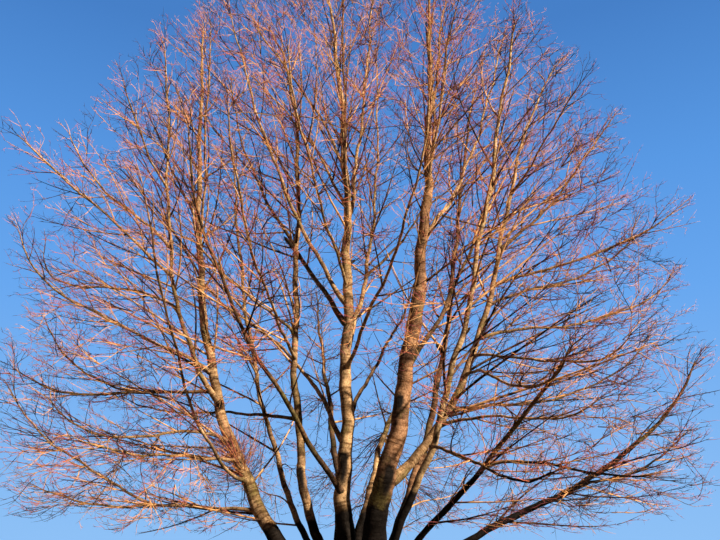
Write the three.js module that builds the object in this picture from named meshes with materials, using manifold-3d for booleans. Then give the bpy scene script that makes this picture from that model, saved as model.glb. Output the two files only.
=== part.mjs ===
// A bare broadleaf tree in winter: one root crown on the ground, a fan of stems that rises from it,
// and the boughs that carry the crown out to its furthest tips on every side.
// Millimetres, +Z up, the origin on the ground at the middle of the foot; the tree faces -Y.
import * as THREE from "three";
import { mergeVertices } from "three/addons/utils/BufferGeometryUtils.js";
import Module from "manifold-3d";

const wasm = await Module();
wasm.setup();

// The space left between two limbs where one grows out of the other.
const GAP = 0.3;

// The root crown, where all the stems meet: a flared foot with a flat cut at ground level.
const FOOT_RADIUS = 700;
const FOOT_DEPTH_RATIO = 0.86;
const FOOT_SIDES = 20;
const FOOT_LOBES = 5;
const FOOT_LOBE_SIZE = 0.11;
const FOOT_LOBE_FADE = 190;
// Height of each ring over the ground, and its radius as a share of the foot's.
const FOOT_RINGS = [
  [0, 1.0],
  [110, 0.84],
  [240, 0.755],
  [350, 0.69],
  [450, 0.56],
  [520, 0.36],
];
const FOOT_TOP = 550;

// How every limb is made: a straight taper to a slim tip, with a swollen collar where it leaves its parent.
const TIP_RADIUS = 8;
const TAPER_POWER = 1.1;
const COLLAR_SWELL = 0.3;
const COLLAR_REACH = 2.2;
const HANDLE = 0.36;
const STEM_SIDES = 8;
const BOUGH_SIDES = 6;
const STEM_RINGS = [0, 0.02, 0.05, 0.11, 0.2, 0.31, 0.43, 0.56, 0.7, 0.85, 0.985];
const BOUGH_RINGS = [0, 0.04, 0.1, 0.2, 0.33, 0.47, 0.62, 0.79, 0.97];

// The stems that leave the root crown:
// name, foot [x, y, z], tip [x, y, z], slope in degrees at the foot and at the tip, radius at the foot.
const STEMS = [
  ["stem_right", [180, -60, 320], [2000, -1200, 14800], 70, 90, 235],
  ["stem_centre", [-20, -40, 340], [-700, 0, 16100], 90, 80, 180],
  ["stem_left", [-240, -40, 280], [-4300, 1800, 15800], 40, 85, 170],
  ["stem_right_back", [300, 200, 300], [3600, 2000, 13600], 55, 75, 105],
  ["stem_low_right", [340, 60, 240], [7300, -800, 5100], 40, 65, 100],
  ["stem_mid_left", [-140, -180, 340], [-2300, 1600, 15400], 60, 60, 110],
  ["stem_right_lit", [300, -240, 300], [3500, -3400, 11600], 50, 75, 90],
  ["stem_back_left", [-60, 260, 300], [-1100, 6600, 9100], 85, 60, 100],
  ["stem_back_right", [140, 280, 300], [2300, 6400, 9700], 75, 80, 100],
  ["stem_low_front", [320, -140, 240], [3700, -4500, 4500], 40, 45, 85],
  ["stem_slim_left", [-160, 200, 320], [-3500, 3400, 12500], 50, 80, 80],
];

// The boughs: name, parent, how far along the parent it leaves (0 foot, 1 tip), tip [x, y, z],
// slope in degrees where it leaves and at its tip, radius where it leaves.
const BOUGHS = [
  // off the left stem
  ["bough_left_fork", "stem_left", 0.32, [-4400, -1200, 12800], 35, 75, 62],
  ["bough_left_outer", "stem_left", 0.2, [-3500, -4200, 7400], 0, 60, 42],
  ["bough_left_lowest", "stem_left", 0.15, [-7400, 2000, 2800], 10, 25, 48],
  ["bough_left_lowest_rising", "bough_left_lowest", 0.42, [-7300, -300, 4800], 25, 60, 32],
  ["bough_left_level_low", "stem_left", 0.26, [-5400, -2200, 4000], 20, 55, 42],
  ["bough_left_level_front", "stem_left", 0.23, [-4000, -4200, 3000], 0, 5, 36],
  ["bough_left_level", "stem_left", 0.34, [-7700, 800, 5300], 5, 40, 42],
  ["bough_left_level_back", "bough_left_level", 0.3, [-7700, 2000, 6900], 5, 65, 30],
  ["bough_left_rising", "stem_left", 0.37, [-7200, -1000, 8000], 30, 75, 42],
  ["bough_left_fork_level", "bough_left_fork", 0.28, [-7500, 1000, 8300], 45, 90, 34],
  ["bough_left_fork_front", "bough_left_fork", 0.37, [-6600, -3000, 9200], 30, 30, 34],
  ["bough_left_fork_out", "bough_left_fork", 0.45, [-6800, -200, 10900], 45, 70, 34],
  ["bough_left_fork_high", "bough_left_fork", 0.6, [-4700, -2600, 10600], 25, 50, 28],
  ["bough_left_high_back", "stem_left", 0.62, [-6200, 3200, 13900], 55, 60, 36],
  ["bough_left_leader", "stem_left", 0.54, [-3400, -800, 13600], 70, 80, 42],
  // off the mid left stem
  ["bough_behind_left", "stem_mid_left", 0.25, [-6500, 5000, 5400], 15, 25, 42],
  ["bough_mid_left_out", "stem_mid_left", 0.38, [-2900, -3000, 7700], 20, 90, 36],
  ["bough_mid_left_front", "stem_mid_left", 0.34, [-1900, -5200, 8500], 15, 70, 40],
  // off the centre stem
  ["bough_centre_low_left", "stem_centre", 0.12, [-2700, -4600, 8500], 40, 85, 60],
  ["bough_centre_left_back", "stem_centre", 0.18, [-4800, 6000, 9300], 60, 40, 55],
  ["bough_centre_right_back", "stem_centre", 0.21, [2300, 5200, 10600], 50, 75, 50],
  ["bough_centre_right_front", "stem_centre", 0.29, [1500, -5000, 8800], 30, 80, 46],
  ["bough_centre_right_rear", "stem_centre", 0.32, [800, 3200, 15900], 45, 100, 66],
  ["bough_centre_left_rear", "stem_centre", 0.35, [-3600, 3000, 14600], 55, 80, 62],
  ["bough_centre_left_tall", "stem_centre", 0.38, [-2900, -1200, 13800], 55, 75, 54],
  ["bough_centre_left_front", "stem_centre", 0.41, [-1100, -4000, 10600], 35, 70, 40],
  ["bough_centre_leader_front", "stem_centre", 0.46, [-100, -2000, 13600], 70, 70, 44],
  ["bough_centre_leader_back", "stem_centre", 0.5, [700, 1400, 16500], 75, 80, 52],
  ["bough_centre_left_high", "stem_centre", 0.54, [-3000, 3000, 14800], 65, 50, 42],
  ["bough_centre_left_top", "stem_centre", 0.6, [-2600, 300, 14600], 75, 60, 36],
  ["bough_rear_right", "bough_centre_right_rear", 0.26, [3200, 4400, 14100], 40, 75, 38],
  // off the right stem
  ["bough_right_fork", "stem_right", 0.15, [5600, 300, 13400], 40, 55, 100],
  ["bough_right_back_long", "stem_right", 0.32, [5600, 4000, 14200], 45, 50, 56],
  ["bough_right_high", "stem_right", 0.52, [4800, 2800, 16300], 45, 65, 50],
  ["bough_right_twin", "stem_right", 0.56, [2800, 1000, 16200], 70, 65, 54],
  ["bough_right_front_high", "stem_right", 0.6, [2400, -3200, 12300], 50, 40, 40],
  // off the right fork
  ["bough_fork_level", "bough_right_fork", 0.14, [4700, -2400, 4000], 20, 35, 38],
  ["bough_fork_level_back", "bough_right_fork", 0.18, [7500, 1800, 6300], 5, 50, 38],
  ["bough_fork_front", "bough_right_fork", 0.25, [3300, -5600, 4200], 0, 35, 36],
  ["bough_fork_out_low", "bough_right_fork", 0.29, [5300, -2800, 5200], 0, 60, 34],
  ["bough_fork_out", "bough_right_fork", 0.33, [7900, 1000, 7600], 15, 50, 38],
  ["bough_fork_out_back", "bough_right_fork", 0.4, [7800, 2200, 9800], 25, 70, 38],
  ["bough_fork_out_high", "bough_right_fork", 0.44, [7300, -1200, 8400], 15, 40, 36],
  ["bough_fork_rising", "bough_right_fork", 0.52, [7400, 1600, 12600], 35, 50, 42],
  ["bough_fork_high_front", "bough_right_fork", 0.64, [5200, -2200, 11000], 20, 25, 30],
  // off the low stems
  ["bough_low_right_front", "stem_low_front", 0.6, [4700, -4200, 2500], 25, 10, 34],
  ["bough_low_front", "stem_right_lit", 0.28, [2800, -6200, 2400], -5, 10, 34],
  ["bough_low_right_back", "stem_low_right", 0.52, [8100, 2000, 4000], 15, 40, 38],
];

const BARK = 0x8a7668;
const YOUNG_BARK = 0x96705c;

// The curve of a limb: it leaves its foot at one slope and reaches its tip at another, in one upright plane.
function limbCurve(foot, tip, leaveSlope, tipSlope) {
  const run = new THREE.Vector3(tip.x - foot.x, tip.y - foot.y, 0).normalize();
  const handle = HANDLE * foot.distanceTo(tip);
  const along = (slope) => {
    const angle = THREE.MathUtils.degToRad(slope);
    return run.clone().multiplyScalar(Math.cos(angle)).setZ(Math.sin(angle));
  };
  const first = foot.clone().addScaledVector(along(leaveSlope), handle);
  const second = tip.clone().addScaledVector(along(tipSlope), -handle);
  const curve = new THREE.CubicBezierCurve3(foot, first, second, tip);
  curve.side = new THREE.Vector3(run.y, -run.x, 0);
  return curve;
}

// The radius at share t of the way: a taper from the foot to the tip, swollen at the collar.
function limbRadius(t, length, radius) {
  const taper = TIP_RADIUS + (radius - TIP_RADIUS) * (1 - t) ** TAPER_POWER;
  return taper * (1 + COLLAR_SWELL * Math.exp((-t * length) / (COLLAR_REACH * radius)));
}

// A closed solid of a three.js geometry, its doubled corners joined and its empty triangles left out.
function solidOf(geometry) {
  geometry.deleteAttribute("normal");
  geometry.deleteAttribute("uv");
  const merged = mergeVertices(geometry, 0.01);
  const index = merged.index.array;
  const kept = [];
  for (let i = 0; i < index.length; i += 3) {
    const [a, b, c] = index.slice(i, i + 3);
    if (a !== b && b !== c && c !== a) kept.push(a, b, c);
  }
  const mesh = new wasm.Mesh({
    numProp: 3,
    vertProperties: merged.attributes.position.array,
    triVerts: new Uint32Array(kept),
  });
  return new wasm.Manifold(mesh);
}

// A lathe of the limb's taper, bent along its curve. `extra` thickens it all round.
function limbSolid(limb, extra) {
  const length = limb.curve.getLength();
  const profile = limb.rings.map((t) => new THREE.Vector2(limbRadius(t, length, limb.radius) + extra, t));
  const whole = [new THREE.Vector2(0, 0), ...profile, new THREE.Vector2(0, 1)];
  const geometry = new THREE.LatheGeometry(whole, limb.sides);
  const position = geometry.attributes.position;
  const corner = new THREE.Vector3();
  for (let i = 0; i < position.count; i++) {
    corner.fromBufferAttribute(position, i);
    const tangent = limb.curve.getTangent(corner.y);
    const over = limb.curve.side.clone().cross(tangent);
    const place = limb.curve.getPoint(corner.y);
    place.addScaledVector(limb.curve.side, corner.x).addScaledVector(over, corner.z);
    position.setXYZ(i, place.x, place.y, place.z);
  }
  return solidOf(geometry);
}

// The root crown: a lathe flattened front to back, with lobes that fade upwards like the starts of roots.
function footSolid(extra) {
  const rings = FOOT_RINGS.map(([height, share]) => new THREE.Vector2(share * FOOT_RADIUS + extra, height));
  const top = new THREE.Vector2(0, FOOT_TOP + extra);
  const geometry = new THREE.LatheGeometry([new THREE.Vector2(0, 0), ...rings, top], FOOT_SIDES);
  const position = geometry.attributes.position;
  const corner = new THREE.Vector3();
  for (let i = 0; i < position.count; i++) {
    corner.fromBufferAttribute(position, i);
    const turn = Math.atan2(corner.z, corner.x);
    const lobe = FOOT_LOBE_SIZE * Math.cos(FOOT_LOBES * turn) * Math.exp(-corner.y / FOOT_LOBE_FADE);
    const wide = corner.x * (1 + lobe);
    const deep = corner.z * (1 + lobe) * FOOT_DEPTH_RATIO;
    position.setXYZ(i, wide, -deep, corner.y);
  }
  return solidOf(geometry);
}

// Every limb by name, with its curve, its solid and the thickened solid that cuts what meets it.
const limbs = new Map();
limbs.set("root_crown", { solid: footSolid(0), cutter: footSolid(GAP) });

function grow(name, foot, tip, leaveSlope, tipSlope, radius, rings, sides) {
  const limb = { radius, rings, sides, curve: limbCurve(foot, tip, leaveSlope, tipSlope) };
  limb.cutter = limbSolid(limb, GAP);
  limb.solid = limbSolid(limb, 0);
  for (const earlier of limbs.values()) limb.solid = limb.solid.subtract(earlier.cutter);
  const pieces = limb.solid.decompose().sort((a, b) => b.volume() - a.volume());
  limb.solid = pieces[0];
  limbs.set(name, limb);
}

for (const [name, foot, tip, leaveSlope, tipSlope, radius] of STEMS) {
  const start = new THREE.Vector3(...foot);
  grow(name, start, new THREE.Vector3(...tip), leaveSlope, tipSlope, radius, STEM_RINGS, STEM_SIDES);
}
for (const [name, parent, share, tip, leaveSlope, tipSlope, radius] of BOUGHS) {
  const start = limbs.get(parent).curve.getPoint(share);
  grow(name, start, new THREE.Vector3(...tip), leaveSlope, tipSlope, radius, BOUGH_RINGS, BOUGH_SIDES);
}

const group = new THREE.Group();
for (const [name, limb] of limbs) {
  const mesh = limb.solid.getMesh();
  const geometry = new THREE.BufferGeometry();
  geometry.setAttribute("position", new THREE.BufferAttribute(mesh.vertProperties, 3));
  geometry.setIndex(new THREE.BufferAttribute(mesh.triVerts, 1));
  geometry.computeVertexNormals();
  const color = name.startsWith("bough") ? YOUNG_BARK : BARK;
  const node = new THREE.Mesh(geometry, new THREE.MeshStandardMaterial({ color, roughness: 0.85 }));
  node.name = name;
  group.add(node);
}

export default group;
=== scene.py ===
# %% [markdown]
# # A bare winter tree
# The real thing is a broadleaf tree in winter, with many stems that fan out from one root crown. The
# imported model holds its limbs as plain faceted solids. This lesson gives each limb its bark, grows
# branches, twigs and buds on from them, and lights the whole for a picture from the ground.

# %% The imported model, as a fixed frame
import math

import bpy
import numpy as np
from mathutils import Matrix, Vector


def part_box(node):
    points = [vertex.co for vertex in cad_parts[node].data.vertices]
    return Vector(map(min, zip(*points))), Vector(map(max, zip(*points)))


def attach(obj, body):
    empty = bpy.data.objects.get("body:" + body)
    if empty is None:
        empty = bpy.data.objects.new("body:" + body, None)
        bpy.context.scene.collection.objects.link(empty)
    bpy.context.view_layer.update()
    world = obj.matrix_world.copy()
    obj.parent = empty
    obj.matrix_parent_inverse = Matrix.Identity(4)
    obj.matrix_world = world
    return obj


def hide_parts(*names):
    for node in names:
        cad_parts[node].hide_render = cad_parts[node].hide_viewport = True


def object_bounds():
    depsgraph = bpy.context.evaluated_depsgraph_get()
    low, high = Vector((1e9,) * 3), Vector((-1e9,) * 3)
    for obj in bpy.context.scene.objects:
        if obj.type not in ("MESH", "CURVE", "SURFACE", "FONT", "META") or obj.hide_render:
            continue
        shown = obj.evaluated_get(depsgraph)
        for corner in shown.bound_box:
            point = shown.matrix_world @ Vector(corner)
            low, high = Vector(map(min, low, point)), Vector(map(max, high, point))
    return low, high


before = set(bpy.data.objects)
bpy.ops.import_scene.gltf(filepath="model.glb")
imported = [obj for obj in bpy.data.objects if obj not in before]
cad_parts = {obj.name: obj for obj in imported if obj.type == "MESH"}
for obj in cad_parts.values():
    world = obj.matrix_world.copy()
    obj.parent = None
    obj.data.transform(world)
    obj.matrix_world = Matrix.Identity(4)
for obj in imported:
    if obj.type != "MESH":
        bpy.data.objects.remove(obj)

cad_box = [list(corner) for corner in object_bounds()]
print("solid model, lowest and highest corner:", cad_box)

# %% [markdown]
# ## The camera
# The tree was seen from the ground, some fifteen metres away, looking up into its crown. A lens as long
# as the sensor is wide, turned up by some twenty degrees, gives the same fan of stems and puts the root
# crown just under the picture's lower edge. Moving the camera back would flatten the fan.

# %% A camera at eye height
EYE_HEIGHT = 1.6
EYE_DISTANCE = 15.5
EYE_RIGHT = 0.31
LOOK_UP_DEGREES = 20.4
LENS_MM = 36.0
FARTHEST_SEEN = 2000


def linked(name, data):
    """An object of the scene with this name and data."""
    obj = bpy.data.objects.new(name, data)
    bpy.context.collection.objects.link(obj)
    return obj


camera = linked("camera", bpy.data.cameras.new("camera"))
camera.data.lens = LENS_MM
camera.data.sensor_width = LENS_MM
camera.data.clip_end = FARTHEST_SEEN
camera.location = (EYE_RIGHT, -EYE_DISTANCE, EYE_HEIGHT)
camera.rotation_euler = (math.radians(90 + LOOK_UP_DEGREES), 0, 0)
bpy.context.scene.camera = camera
print("camera at", tuple(camera.location))

# %% [markdown]
# ## Reading the limbs
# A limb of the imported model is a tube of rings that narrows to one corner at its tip. Its centreline
# could be typed in again, but then a change to the solids would leave the bark behind. So each limb is
# walked from its tip: the corners that are one edge away make the next ring, and a ring's middle and
# radius give one point of the centreline.

# %% Corners and edges of a node
WELD = 2e-4


def rows_of(items, field):
    """A three-part field of every item, such as the place of every vertex, as rows of three."""
    values = np.empty(len(items) * 3)
    items.foreach_get(field, values)
    return values.reshape(-1, 3)


def node_shape(node):
    """Corners and two-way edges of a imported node, its loose triangles joined where corners agree."""
    corners = rows_of(node.data.vertices, "co")
    keys = np.round(corners / WELD).astype(np.int64)
    _, first, joined = np.unique(keys, axis=0, return_index=True, return_inverse=True)
    loops = np.empty(len(node.data.loops), np.int32)
    node.data.loops.foreach_get("vertex_index", loops)
    triangles = joined.reshape(-1)[loops].reshape(-1, 3)
    pairs = triangles[:, [0, 1, 1, 2, 2, 0]].reshape(-1, 2)
    return corners[first], np.concatenate([pairs, pairs[:, ::-1]])


def walk_from(start, corners, edges):
    """How many edges each corner lies from `start`: each step takes the untouched ends of the last."""
    level = np.full(len(corners), -1)
    level[start] = 0
    for step in range(1, len(corners)):
        reached = edges[level[edges[:, 0]] == step - 1, 1]
        reached = reached[level[reached] < 0]
        if not len(reached):
            break
        level[reached] = step
    return level


# %% The whole rings of each limb
CROWN_MIDDLE = np.array([0.0, 0.0, 0.3])
ROUND_ENOUGH = 0.03


def limb_rings(node):
    """Ring middles and radii from foot to tip, and the middle of the cut face at the foot."""
    corners, edges = node_shape(node)
    tip = int(np.argmax(np.linalg.norm(corners - CROWN_MIDDLE, axis=1)))
    level = walk_from(tip, corners, edges)
    sides = int((level == 1).sum())
    middles, radii = [corners[tip]], [0.0]
    for step in range(1, level.max() + 1):
        ring = corners[level == step]
        reach = np.linalg.norm(ring - ring.mean(0), axis=1)
        if len(ring) != sides or np.ptp(reach) > ROUND_ENOUGH * reach.mean():
            break
        middles.append(ring.mean(0))
        radii.append(float(reach.mean()))
    cut = corners[level >= len(middles)]
    return np.array(middles[::-1]), np.array(radii[::-1]), cut.mean(0)


limb_names = sorted(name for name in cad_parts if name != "root_crown")
raw_limbs = {name: limb_rings(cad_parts[name]) for name in limb_names}
print(len(raw_limbs), "limbs read,", sum(len(rings[0]) for rings in raw_limbs.values()), "rings")

# %% [markdown]
# ## Smooth centrelines
# A real limb has no corners where two rings meet. A cubic through the ring middles takes the facets
# out, and a small sideways wander takes away the look of a bent pipe. Each limb starts inside the limb
# that carries it, so no gap can show there, and it flares where it leaves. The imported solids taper
# evenly; a real limb keeps its thickness longer, so the upper part gets a little more wood.

# %% Helpers on arrays of points
SEED = 1128
UP = np.array([0.0, 0.0, 1.0])
FULL_TURN = 2 * math.pi
rng = np.random.default_rng(SEED)


def unit(vectors):
    """Each vector over its own length."""
    return vectors / np.maximum(np.linalg.norm(vectors, axis=-1, keepdims=True), 1e-9)


def distances(points):
    """The way along a path at each of its points, from 0 at the first."""
    steps = np.linalg.norm(np.diff(points, axis=0), axis=1)
    return np.concatenate([[0.0], np.cumsum(steps)])


def hermite(t, start, leave, end, arrive):
    """The cubic from start to end, for t from 0 to 1, whose slopes there are `leave` and `arrive`."""
    return (
        (2 * t**3 - 3 * t**2 + 1) * start
        + (t**3 - 2 * t**2 + t) * leave
        + (3 * t**2 - 2 * t**3) * end
        + (t**3 - t**2) * arrive
    )


def cubic(values, way, at):
    """A cubic between each two values, whose slope at a value is that of its neighbours."""
    slope = np.gradient(values, way, axis=0)
    i = np.clip(np.searchsorted(way, at) - 1, 0, len(way) - 2)
    gap = (way[i + 1] - way[i])[:, None]
    t = (at - way[i])[:, None] / gap
    return hermite(t, values[i], gap * slope[i], values[i + 1], gap * slope[i + 1])


# %% One centreline for each limb
LIMB_POINTS = 161
SEAT_SWELL = 1.12
STEM_SINK = 0.25
WANDER_LENGTHS = (0.45, 1.1, 2.6)
WANDER_LEAST, WANDER_SHARE, WANDER_ENDS = 0.009, 0.05, 0.8
FLARE, FLARE_REACH = 0.4, 2.2
UPPER_WOOD = {"stem": 0.013, "bough": 0.006}
UPPER_FROM, UPPER_FULL = 0.35, 0.75
UPPER_TIP = 0.5


def wander(way, radius):
    """A sideways drift of three slow waves in x, y and z, whose height grows with the limb's thickness."""
    drift = np.zeros((len(way), 3))
    for length in WANDER_LENGTHS:
        phase = rng.uniform(0, FULL_TURN, 3)
        drift += np.sin(FULL_TURN * way[:, None] / length + phase) * length / WANDER_LENGTHS[1]
    fade = np.minimum(1.0, np.minimum(way, way[-1] - way) / WANDER_ENDS)
    return drift * ((WANDER_LEAST + WANDER_SHARE * radius) * fade)[:, None]


def carrier_point(name, seat, direction):
    """The point inside the carrying limb where this limb starts, found on the nearest other centreline."""
    if name.startswith("stem"):
        return seat + direction * STEM_SINK
    best = None
    for other, (middles, radii, _) in raw_limbs.items():
        if other == name:
            continue
        way = distances(middles)
        at = np.linspace(0, way[-1], LIMB_POINTS)
        line = cubic(middles, way, at)
        thick = np.interp(at, way, radii)
        gap = np.linalg.norm(line - seat, axis=1) - thick
        if best is None or gap.min() < best[0]:
            reach = seat + direction * thick[gap.argmin()]
            best = (gap.min(), line[np.linalg.norm(line - reach, axis=1).argmin()])
    return best[1]


def fuller(at, radius, seat_at, extra):
    """The radius with a flare at the seat, e to the minus (way past the seat over its reach), and more wood.

    The extra wood grows from nothing to all of it between two shares of the length, and ends at the tip.
    """
    foot = np.interp(seat_at, at, radius)
    flare = FLARE * foot * np.exp(-np.abs(at - seat_at) / (FLARE_REACH * foot))
    grown = np.clip((at / at[-1] - UPPER_FROM) / (UPPER_FULL - UPPER_FROM), 0, 1)
    return radius + flare + extra * grown * np.minimum(1, (at[-1] - at) / UPPER_TIP)


limbs = {}
for name in limb_names:
    middles, radii, seat = raw_limbs[name]
    start = carrier_point(name, seat, unit(seat - middles[0]))
    points = np.concatenate([[start], middles])
    way = distances(points)
    at = np.linspace(0, way[-1], LIMB_POINTS)
    radius = np.interp(at, way, np.concatenate([[radii[0] * SEAT_SWELL], radii]))
    seat_at = way[1] if name.startswith("stem") else np.linalg.norm(seat - start)
    radius = fuller(at, radius, seat_at, UPPER_WOOD[name.split("_")[0]])
    line = cubic(points, way, at) + wander(at, radius)
    limbs[name] = {"line": line, "radius": radius, "way": distances(line), "seat": seat}
print("longest limb", round(max(limb["way"][-1] for limb in limbs.values()), 2), "m")

# %% [markdown]
# ## The crown's outline
# A crown is not a ball: it is a broad dome on a nearly level underside. The outline is one formula, and a
# branch that would cross it is cut short there. Limbs that reach past the dome carry the outline out with
# them, so it is ragged as on the real tree. The nearest way out is where the light is, and shoots bend
# that way: to the side low in the crown, and up near its top.

# %% The dome
DOME_MIDDLE = np.array([0.17, 0.1])
DOME_REACH = np.array([7.5, 6.1])
DOME_BOTTOM, DOME_WAIST, DOME_TOP = 1.75, 3.5, 16.9
DOME_POWER = 1.95
UNDERSIDE_SHARE, UNDERSIDE_POWER = 0.85, 6


def dome_share(points):
    """How far out a point lies: 0 on the axis, 1 on the dome.

    The level reach and the height over the waist add as powers; the height under the waist counts less,
    until it nears the level underside.
    """
    level = np.linalg.norm((points[..., :2] - DOME_MIDDLE) / DOME_REACH, axis=-1)
    over = np.maximum(points[..., 2] - DOME_WAIST, 0) / (DOME_TOP - DOME_WAIST)
    under = np.maximum(DOME_WAIST - points[..., 2], 0) / (DOME_WAIST - DOME_BOTTOM)
    under = (UNDERSIDE_SHARE * under) ** UNDERSIDE_POWER
    return (level**DOME_POWER + over**DOME_POWER + under) ** (1 / DOME_POWER)


def to_light(points):
    """The direction in which the share grows fastest: the powers' slopes, level and upwards."""
    flat = (points[..., :2] - DOME_MIDDLE) / DOME_REACH
    level = np.linalg.norm(flat, axis=-1, keepdims=True)
    over = np.maximum(points[..., 2:] - DOME_WAIST, 0) / (DOME_TOP - DOME_WAIST)
    sideways = level ** (DOME_POWER - 2) * flat / DOME_REACH
    upwards = over ** (DOME_POWER - 1) / (DOME_TOP - DOME_WAIST)
    return unit(np.concatenate([sideways, upwards], axis=-1))


# %% Limbs that carry the outline out
HANDLE_PLACES = (0.7, 0.8, 0.9, 1.0)
HANDLE_SHARE = 0.94
HANDLE_REACH = 1.1
ROOM_ROUND_THE_SOLIDS = 0.3
at = [int(place * (LIMB_POINTS - 1)) for place in HANDLE_PLACES]
handles = np.concatenate([limb["line"][at] for limb in limbs.values()])
handle_push = dome_share(handles) - HANDLE_SHARE
handles, handle_push = handles[handle_push > 0], handle_push[handle_push > 0]
print(len(handles), "places where a limb carries the outline out, by up to", handle_push.max().round(2))


def outline_share(points):
    """The dome's share, lowered near a limb's outer end so that the end lies just inside.

    The most that any end takes off is its own excess times e to the minus (distance over reach) squared.
    A point that is farther outside the solid model's box than the room there counts as outside.
    """
    flat = points.reshape(-1, 3)
    square = (flat**2).sum(1)[:, None] + (handles**2).sum(1) - 2 * flat @ handles.T
    taken = (handle_push * np.exp(-square / HANDLE_REACH**2)).max(1)
    low, high = np.array(cad_box)
    over = np.maximum(low - points, points - high).max(-1) > ROOM_ROUND_THE_SOLIDS
    return dome_share(points) - taken.reshape(points.shape[:-1]) + over


def stop_at_outline(path):
    """Each path cut short where it first leaves the dome, with as many points as before."""
    points = path.shape[1]
    outside = outline_share(path) > 1
    first = np.where(outside.any(1), outside.argmax(1), points)
    cut = np.clip((first - 0.5) / (points - 1), 0.0, 1.0)
    spot = np.linspace(0, 1, points)[None] * cut[:, None] * (points - 1)
    i = np.minimum(spot.astype(int), points - 2)
    w = (spot - i)[..., None]
    rows = np.arange(len(path))[:, None]
    return path[rows, i] * (1 - w) + path[rows, i + 1] * w


# %% [markdown]
# ## Clearings
# Some windows in a crown stay open for years: a limb was lost there, or two stems shade each other. Each
# is a straight lane through the crown, along which nothing sprouts. The widest is low at the front,
# where the lowest branches were cut off to walk underneath.

# %% Lanes where nothing sprouts
# Near end, far end, half the width and half the height.
CLEARINGS = (
    ((-0.4, -6.5, 2.6), (0.1, 1.0, 3.1), 1.9, 1.5),
    ((0.58, -3.0, 4.75), (0.73, 4.0, 6.5), 0.5, 0.6),
    ((1.09, -3.0, 6.5), (1.5, 4.0, 9.3), 0.35, 1.5),
    ((-0.34, -3.0, 6.25), (-0.7, 4.0, 8.85), 0.3, 1.0),
    ((-1.7, -3.0, 3.5), (-2.86, 4.0, 4.5), 0.45, 0.45),
)


def in_clearing(points):
    """Whether a point lies in a lane: its offset from the lane's line, over the half sizes, is under 1."""
    inside = np.zeros(points.shape[:-1], bool)
    for near, far, half_width, half_height in CLEARINGS:
        way = np.subtract(far, near)
        share = np.clip((points - near) @ way / (way @ way), 0, 1)
        offset = (points - near) - share[..., None] * way
        tall = np.linalg.norm(offset[..., 1:], axis=-1)
        inside |= (offset[..., 0] / half_width) ** 2 + (tall / half_height) ** 2 < 1
    return inside


# %% [markdown]
# ## Branching
# On the real tree each year's shoot carries side shoots left and right, at about half a right angle, and
# every shoot bends up towards the light. The same rule, used again with other sizes, turns bare limbs
# into branches, sprigs and twigs. All numbers come from one seeded source, so every run gives this tree.

# %% Where shoots sit on their parents
SEAT_JITTER = (0.1, 0.9)


def on_parent(parent, index, share):
    """Place, direction and radius at `share` of the way along the parents `index`."""
    spot = share * (parent["path"].shape[1] - 1)
    i = np.minimum(spot.astype(int), parent["path"].shape[1] - 2)
    w = (spot - i)[:, None]
    low, high = parent["path"][index, i], parent["path"][index, i + 1]
    radius = parent["radius"][index, i] * (1 - w[:, 0]) + parent["radius"][index, i + 1] * w[:, 0]
    return low * (1 - w) + high * w, unit(high - low), radius


def seats(parent, rule):
    """Which parent each shoot sits on, its number there, and how far along: even, with some jitter."""
    room = parent["length"] * (rule["last"] - rule["first"])
    count = np.floor(room / rule["spacing"] + rng.random(len(room))).astype(int)
    index = np.repeat(np.arange(len(count)), count)
    number = np.arange(len(index)) - np.repeat(np.cumsum(count) - count, count)
    share = (number + rng.uniform(*SEAT_JITTER, len(index))) / count[index]
    share = rule["first"] + share * (rule["last"] - rule["first"])
    return index, number + parent["whorl"][index], share


# %% Shoots from paths
SLIMMER_POWER = 0.6


def as_shoots(path, thick, spray, rule):
    """Paths cut at the outline and made into shoots, without those that come out too short.

    The radius at the foot is `stout` of the parent's, but no more than `radius` times a power of the
    length over the longest, and it narrows evenly to `tip` of that.
    """
    path = stop_at_outline(path)
    length = np.linalg.norm(np.diff(path, axis=1), axis=2).sum(1)
    most = rule["radius"] * (length / rule["longest"]) ** SLIMMER_POWER
    stout = np.maximum(np.minimum(rule["stout"] * thick, most), rule["thinnest"])
    taper = 1 - (1 - rule["tip"]) * np.linspace(0, 1, path.shape[1])
    alive = length > rule["shortest"]
    rest = int(alive.sum())
    print(f"{rule['name']}: {rest}, {length[alive].sum():.0f} m in all")
    return {
        "path": path[alive],
        "radius": (stout[:, None] * taper)[alive],
        "length": length[alive],
        "tilt": unit(rng.normal(0, 1, (rest, 3))),
        "whorl": rng.integers(0, 2, rest),
        "spray": spray[alive],
    }


# %% One order of branching
SPRAYS = 1000
LOWEST_SHOOT = 1.7
LEVEL_BELOW, LEVEL_FADE = 6.5, 4.0


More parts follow.
